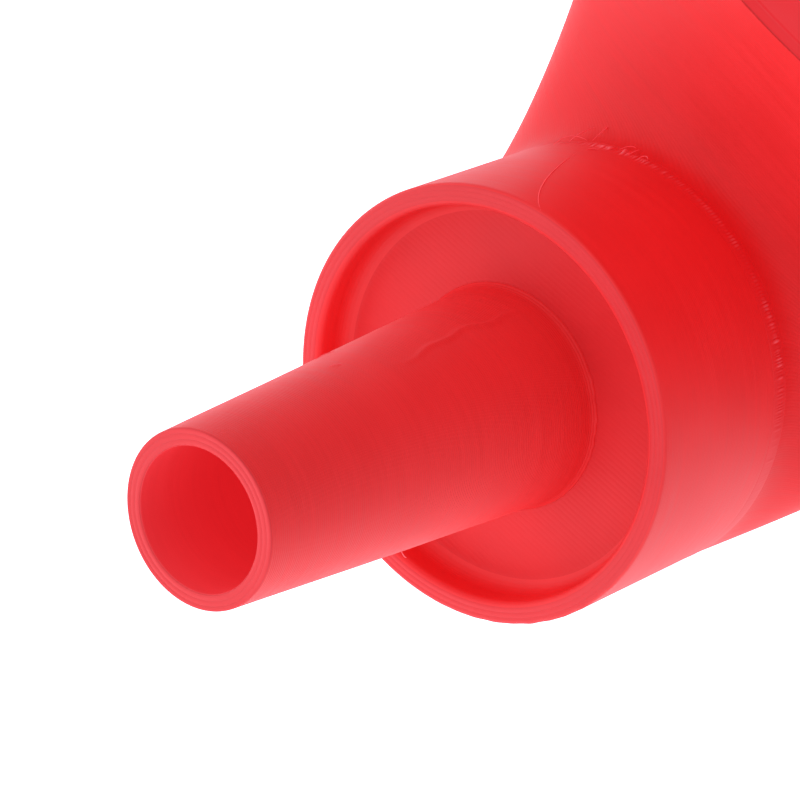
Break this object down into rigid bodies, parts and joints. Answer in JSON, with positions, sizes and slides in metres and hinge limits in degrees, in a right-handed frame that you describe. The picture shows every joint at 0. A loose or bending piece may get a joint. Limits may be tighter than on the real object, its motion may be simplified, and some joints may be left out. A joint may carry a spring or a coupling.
{
  "type": "elbow funnel",
  "caption": "Elbow funnel with a tapered spout, a collar that caps a filler neck, and a flaring bowl that turns up to a level mouth.",
  "frame": {"origin": "on the spout's axis, in the plane of the recess floor that meets the end of a filler neck", "axes": "-X points along the spout to its tip, +Z points out of the mouth, and Y is square to the plane in which the funnel bends"},
  "size_m": [0.0837, 0.0646, 0.0633],
  "materials": {
    "plastic": "satin, with fine print lines",
    "weld": "lumpy remelted plastic"
  },
  "bodies": {
    "root": {"spout_tube": "plastic", "collar_cup": "plastic", "seam_bead": "weld", "bowl_shell": "plastic"}
  },
  "joints": []
}
